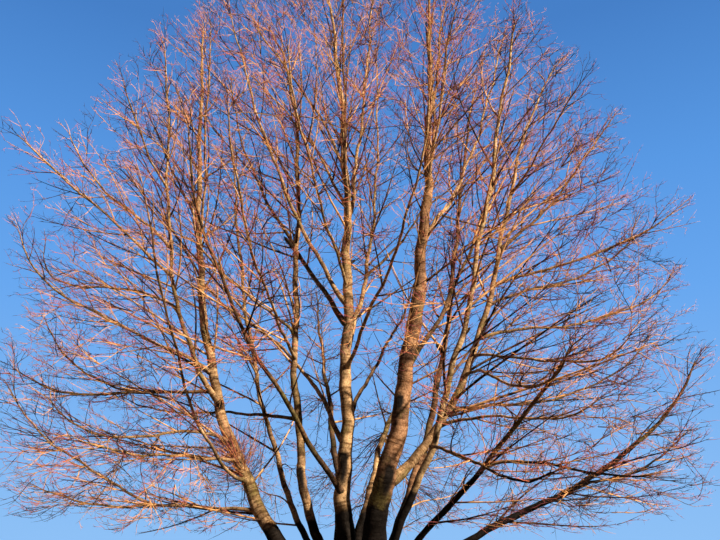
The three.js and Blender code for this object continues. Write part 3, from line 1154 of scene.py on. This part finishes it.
skin_triangles = 0
for name in limb_names:
    is_stem = name.startswith("stem")
    sides = STEM_SIDES if is_stem else BOUGH_SIDES
    corners, local, scar, tip = limb_skin(name, STEM_RINGS if is_stem else BOUGH_RINGS, sides)
    every = np.concatenate([corners.reshape(-1, 3), [tip]])
    skin = mesh_object(name + "_bark", every, *tube_faces(1, len(corners), sides))
    places = np.concatenate([local.reshape(-1, 3), local[-1, :1]])
    bark_values(skin, places, np.append(scar.reshape(-1), 0))
    skin.data.materials.append(barks[tone_of.get(name, "tan")])
    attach(skin, "root")
    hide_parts(name)
    skin_triangles += triangle_count(skin)
print("bark of the limbs:", skin_triangles, "triangles")

# %% [markdown]
# ## The root crown
# Under the fan all stems are one body of wood, with a swelling where each of them leaves and flutes that
# run down into the ground. Tubes pushed into a mound would meet in sharp creases. So the mound and the
# stems' lowest metre are fused by a voxel remesh, smoothing fills the creases as growth does, and noise
# then gives the new skin its relief.

# %% Mound and feet
MOUND_RINGS, MOUND_SIDES = 40, 72
MOUND_FLARE, MOUND_FLARE_HEIGHT = 0.2, 0.15
MOUND_LOBES, LOBE_SIZE, LOBE_FADE = 5, 0.11, 0.19
FEET_TOP = 1.35
FEET_POINTS = 19
FEET_SWELL, FEET_SINK = 1.16, 0.86


def mound(box):
    """A lathe from the ground up to the box's top, with lobes that fade upwards.

    With t the height over the whole, the radius is (1 - flare) root(1 - t^4) + flare e^(-t / flare height)
    of the box's half width, times 1 + the lobes' size times cos(5 a) e^(-height / fade).
    """
    low, high = np.array(box)
    t = np.linspace(0, 1, MOUND_RINGS + 1)[:-1, None]
    t = 1 - (1 - t) ** 2
    share = (1 - MOUND_FLARE) * np.sqrt(1 - t**4) + MOUND_FLARE * np.exp(-t / MOUND_FLARE_HEIGHT)
    turn = turns(MOUND_SIDES)
    height = t * high[2] + 0 * turn
    lobes = 1 + LOBE_SIZE * np.cos(MOUND_LOBES * turn) * np.exp(-height / LOBE_FADE)
    half = (high - low)[:2] / 2 / (1 + LOBE_SIZE)
    level = [half[0] * share * lobes * np.cos(turn), half[1] * share * lobes * np.sin(turn)]
    corners = np.concatenate([np.stack([*level, height], -1).reshape(-1, 3), [[0, 0, high[2]]]])
    return corners, *tube_faces(1, MOUND_RINGS, MOUND_SIDES)


def stem_feet(names):
    """The lowest part of each stem as a tube that is swollen at its foot and sinks into its bark above."""
    at = np.linspace(0, FEET_TOP, FEET_POINTS)
    paths = np.array([cubic(limbs[name]["line"], limbs[name]["way"], at) for name in names])
    radii = np.array([np.interp(at, limbs[name]["way"], limbs[name]["radius"]) for name in names])
    return tubes(paths, radii * np.linspace(FEET_SWELL, FEET_SINK, FEET_POINTS), STEM_SIDES)


# %% One skin over both
FUSE_VOXEL = 0.018
FUSE_SMOOTHING = 14
FUSE_SOFTNESS = 0.5


def fused(name, parts):
    """One mesh object over all the given shapes: a voxel remesh, smoothed."""
    shift, corners, walls = 0, [], []
    for points, *face_sets in parts:
        corners.append(points)
        walls += [faces + shift for faces in face_sets]
        shift += len(points)
    rough_object = mesh_object(name + "_parts", np.concatenate(corners), *walls)
    remesh = rough_object.modifiers.new("fuse", "REMESH")
    remesh.mode = "VOXEL"
    remesh.voxel_size = FUSE_VOXEL
    soften = rough_object.modifiers.new("soften", "SMOOTH")
    soften.factor = FUSE_SOFTNESS
    soften.iterations = FUSE_SMOOTHING
    graph = bpy.context.evaluated_depsgraph_get()
    mesh = bpy.data.meshes.new_from_object(rough_object.evaluated_get(graph))
    bpy.data.objects.remove(rough_object)
    mesh.name = name
    return linked(name, mesh)


# %% The root crown's bark
CROWN_LUMPS = ((0.4, 0.016), (0.12, 0.007), (0.045, 0.003))
LUMP_SQUEEZE = (1, 1, 0.5)

stem_names = [name for name in limb_names if name.startswith("stem")]
root_bark = fused("root_crown_bark", (mound(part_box("root_crown")), stem_feet(stem_names)))
mesh = root_bark.data
corners, normals = rows_of(mesh.vertices, "co"), rows_of(mesh.vertices, "normal")
relief = sum(height * rough(corners * LUMP_SQUEEZE, size) for size, height in CROWN_LUMPS)
corners = corners + normals * relief[:, None]
corners[:, 2] = np.maximum(corners[:, 2], 0)
mesh.vertices.foreach_set("co", corners.reshape(-1))
mesh.polygons.foreach_set("use_smooth", np.full(len(mesh.polygons), True))
mesh.update()
bark_values(root_bark, corners, np.zeros(len(corners)))
# The root crown lies wholly under the painted cast shadow of the lower stems.
mesh.materials.append(barks["tan"])
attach(root_bark, "root")
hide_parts("root_crown")
print("root crown:", triangle_count(root_bark), "triangles")

# %% [markdown]
# ## Dead stubs
# Where a branch broke off long ago, a short grey-black stub is left. Each is a blunt tube with a ragged
# end, which stands on the middle line of its stem.

# %% Stubs
# Limb, height over the ground, compass direction, length and radius.
STUBS = (
    ("stem_mid_left", 8.1, 200, 0.42, 0.045),
    ("stem_mid_left", 8.7, -60, 0.16, 0.04),
    ("stem_right_lit", 5.2, -20, 0.2, 0.035),
    ("stem_right_back", 5.7, -150, 0.24, 0.04),
    ("stem_left", 6.1, -120, 0.2, 0.03),
    ("stem_centre", 7.4, 10, 0.2, 0.03),
)
STUB_POINTS, STUB_SIDES = 7, 10
STUB_RISE = 1.1
STUB_FOOT, STUB_TAPER, STUB_RAGGED = 1.1, 0.35, 0.12
STUB_SCAR = 0.8


def stub_tubes(stubs):
    """Blunt tubes: straight paths whose radius swells at the foot and is rough up to the broken end."""
    paths, radii = [], []
    step = np.linspace(0, 1, STUB_POINTS)
    for name, level, compass, length, thick in stubs:
        line = limbs[name]["line"]
        foot = np.array([np.interp(level, line[:, 2], line[:, axis]) for axis in range(3)])
        own = np.interp(level, line[:, 2], limbs[name]["radius"])
        ray = unit(compass_ray(compass, STUB_RISE))
        paths.append(foot + ray * ((own + length) * step)[:, None])
        ragged = rng.uniform(-STUB_RAGGED, STUB_RAGGED, STUB_POINTS)
        radii.append(thick * (STUB_FOOT - STUB_TAPER * step + ragged))
    return tubes(np.array(paths), np.array(radii), STUB_SIDES)


stub_piece = mesh_object("dead_stubs", *stub_tubes(STUBS))
corners = rows_of(stub_piece.data.vertices, "co")
bark_values(stub_piece, corners, np.full(len(corners), STUB_SCAR))
stub_piece.data.materials.append(barks["dark"])
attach(stub_piece, "root")
print("stubs:", triangle_count(stub_piece), "triangles")

# %% [markdown]
# ## Branch wood and twigs
# Branches show some bark, so they get a small procedural finish: patches of a light and a near-black
# colour, where the near-black is painted shade. A twig is a line in the picture, and its colour is one plain
# tone for a whole spray: rose, orange, plum or brown. A plum or brown spray hangs on dark wood; these dark
# sprays and their wood are painted shade for sprays that stand in shade, and the plum is partly a tint of
# the twigs themselves.

# %% Materials of the young wood
WOOD_ROUGHNESS, TWIG_ROUGHNESS = 0.75, 0.6
PATCH_NOISE = (5.0, 3.0)
PATCH_EDGE = 0.12
# Light colour, dark colour as painted shade, and the noise up to which the wood is dark.
# The whole dark tone is painted shade for branches that stand in shade.
BRANCH_TONES = {
    "light": ((0.66, 0.37, 0.17), (0.05, 0.028, 0.02), 0.38),
    "dark": ((0.16, 0.085, 0.05), (0.018, 0.011, 0.01), 0.48),
}
# The brown, near black, is painted shade for twigs in shade, and the plum is partly painted shade.
TWIG_COLOURS = {
    "rose": (0.52, 0.15, 0.09),
    "orange": (0.76, 0.34, 0.12),
    "plum": (0.26, 0.07, 0.08),
    "brown": (0.06, 0.03, 0.024),
}
TWIG_SHARES = (0.28, 0.26, 0.2, 0.26)
# Sprays from this number on are painted in shade: plum or brown twigs on dark wood.
FIRST_SHADED_SPRAY = 2
spray_colour = rng.choice(len(TWIG_COLOURS), SPRAYS, p=TWIG_SHARES)


def branch_material(name, light, dark, dark_until):
    """Two wood colours in patches of about a hand's breadth, on Object coordinates; the dark one is painted
    shade.
    """
    material = plain_material(name, light, WOOD_ROUGHNESS)
    tree = material.node_tree
    patches = noise(tree, node(tree, "ShaderNodeTexCoord").outputs["Object"], *PATCH_NOISE)
    colour = ramp(tree, patches, (dark_until, dark), (dark_until + PATCH_EDGE, light))
    tree.links.new(colour, tree.nodes["Principled BSDF"].inputs["Base Color"])
    return material


# %% Pieces of young wood
BRANCH_SIDES, FORK_SIDES, TWIG_SIDES = 5, 4, 3


def shoot_piece(name, shoots, sides, material):
    """One mesh piece of all the given shoots, riding on the tree."""
    piece = mesh_object(name, *tubes(shoots["path"], shoots["radius"], sides))
    piece.data.materials.append(material)
    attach(piece, "root")
    print(name, triangle_count(piece), "triangles")


woods = {tone: branch_material("branch_wood_" + tone, *look) for tone, look in BRANCH_TONES.items()}
for kind, shoots, sides in (("branches", branches, BRANCH_SIDES), ("forks", forks, FORK_SIDES)):
    shaded = spray_colour[shoots["spray"]] >= FIRST_SHADED_SPRAY
    for tone, dealt in (("light", ~shaded), ("dark", shaded)):
        shoot_piece(f"{kind}_{tone}", chosen_from(shoots, dealt), sides, woods[tone])
for number, (colour_name, colour) in enumerate(TWIG_COLOURS.items()):
    skin = plain_material("twig_" + colour_name, colour, TWIG_ROUGHNESS)
    for kind, shoots in (("side_shoots", side_shoots), ("sprigs", sprigs), ("twigs", twigs)):
        dealt = spray_colour[shoots["spray"]] == number
        shoot_piece(f"{kind}_{colour_name}", chosen_from(shoots, dealt), TWIG_SIDES, skin)

# %% [markdown]
# ## Buds
# A real twig ends in a pointed bud. At this distance a bud is a red speck, so each is a spindle of six
# faces, and only some of the twigs carry one.

# %% Buds
BUD_LENGTH = (0.014, 0.026)
BUD_RADIUS = (0.0045, 0.007)
BUD_SIDES = 3
BUD_MIDDLE = 0.4
BUD_COUNT = 9000
BUD_PLACE = 0.9
BUD_LEAN = 0.25
BUD_ROUGHNESS = 0.5
BUD_COLOURS = {"red": (0.45, 0.05, 0.03), "orange": (0.62, 0.22, 0.07)}


def spindles(foot, ahead, length, radius):
    """Six-faced spindles: a foot point, a ring of three at two fifths of the length, and a tip point."""
    across, over = carried_frames(np.stack([foot, foot + ahead], 1))
    ring = ray_at(turns(BUD_SIDES), across[:, :1], over[:, :1])
    middle = foot + ahead * (BUD_MIDDLE * length)[:, None]
    tip = foot + ahead * length[:, None]
    corners = np.concatenate([foot[:, None], middle[:, None] + ring * radius[:, None, None], tip[:, None]], 1)
    side = 1 + np.arange(BUD_SIDES)
    after = 1 + (np.arange(BUD_SIDES) + 1) % BUD_SIDES
    lower = np.stack([after, side, np.zeros(BUD_SIDES, int)], -1)
    upper = np.stack([side, after, np.full(BUD_SIDES, BUD_SIDES + 1)], -1)
    shift = (np.arange(len(foot)) * (BUD_SIDES + 2))[:, None, None]
    return corners.reshape(-1, 3), (np.concatenate([lower, upper]) + shift).reshape(-1, 3)


index = rng.permutation(len(twigs["length"]))[:BUD_COUNT]
foot, ahead, thick = on_parent(twigs, index, np.full(len(index), BUD_PLACE))
half = len(index) // 2
for part, (colour_name, colour) in enumerate(BUD_COLOURS.items()):
    cut = slice(part * half, (part + 1) * half)
    lean = unit(ahead[cut] + rng.normal(0, BUD_LEAN, (half, 3)))
    shape = spindles(foot[cut], lean, rng.uniform(*BUD_LENGTH, half), rng.uniform(*BUD_RADIUS, half))
    buds = mesh_object("buds_" + colour_name, *shape, smooth=False)
    buds.data.materials.append(plain_material("bud_" + colour_name, colour, BUD_ROUGHNESS))
    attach(buds, "root")
    print(buds.name, triangle_count(buds), "triangles")

# %% [markdown]
# ## The studio
# A plain pale floor, a plain blue backdrop and one low warm sun from behind the camera, on its right. The
# low sun gives each limb a bright and a dark side, as in winter. The sky's own light is weak, and a
# little stronger from behind the tree, so that its shaded back can be seen too. The backdrop and the
# floor's tone are for the camera only: their light would fill the dark sides.

# %% Floor, sky and sun
FLOOR_REACH, FLOOR_SIDES = 250.0, 96
FLOOR_COLOUR, FLOOR_ROUGHNESS = (0.37, 0.39, 0.43), 0.9
FLOOR_RETURN = (0.06, 0.055, 0.05, 1)
BACKDROP_COLOURS = (
    (0.0, (0.27, 0.53, 0.92)), (0.3, (0.14, 0.39, 0.87)),
    (0.45, (0.1, 0.32, 0.78)), (0.62, (0.062, 0.215, 0.58)),
)
# The sky's weak light, up to where the sky turns towards the back, and the glow straight behind the tree.
SKY_LIGHTS = ((0.55, (0.04, 0.052, 0.085)), (1.0, (0.55, 0.56, 0.58)))
SUN_COLOUR = (1.0, 0.84, 0.64)
SUN_STRENGTH = 10.5
SUN_HEIGHT_DEGREES, SUN_RIGHT_DEGREES = 30, 54
SUN_SOFTNESS_DEGREES = 2


def camera_sees(tree, seen, lit, output):
    """The camera sees one shader, and all other light meets the other."""
    is_seen = node(tree, "ShaderNodeLightPath").outputs["Is Camera Ray"]
    choice = node(tree, "ShaderNodeMixShader", is_seen)
    tree.links.new(lit.outputs[0], choice.inputs[1])
    tree.links.new(seen.outputs[0], choice.inputs[2])
    tree.links.new(choice.outputs[0], tree.nodes[output].inputs["Surface"])


turn = turns(FLOOR_SIDES)
corners = np.stack([np.cos(turn), np.sin(turn), 0 * turn], -1) * FLOOR_REACH
floor = mesh_object("floor", corners, np.arange(FLOOR_SIDES)[None])
paper = plain_material("floor_paper", FLOOR_COLOUR, FLOOR_ROUGHNESS)
floor.data.materials.append(paper)
tree = paper.node_tree
unlit = node(tree, "ShaderNodeBsdfDiffuse", FLOOR_RETURN)
camera_sees(tree, tree.nodes["Principled BSDF"], unlit, "Material Output")

world = bpy.data.worlds.new("studio")
world.use_nodes = True
tree = world.node_tree
light = tree.nodes["Background"]
direction = node(tree, "ShaderNodeTexCoord").outputs["Generated"]
parts = node(tree, "ShaderNodeSeparateXYZ", direction).outputs
tree.links.new(ramp(tree, parts["Y"], *SKY_LIGHTS), light.inputs["Color"])
backdrop = node(tree, "ShaderNodeBackground", ramp(tree, parts["Z"], *BACKDROP_COLOURS))
camera_sees(tree, backdrop, light, "World Output")
bpy.context.scene.world = world

sun = linked("sun", bpy.data.lights.new("sun", "SUN"))
sun.data.energy = SUN_STRENGTH
sun.data.angle = math.radians(SUN_SOFTNESS_DEGREES)
sun.data.color = SUN_COLOUR
sun.rotation_euler = (math.radians(90 - SUN_HEIGHT_DEGREES), 0, math.radians(SUN_RIGHT_DEGREES))
bpy.context.scene.view_settings.view_transform = "Standard"
print("studio ready")
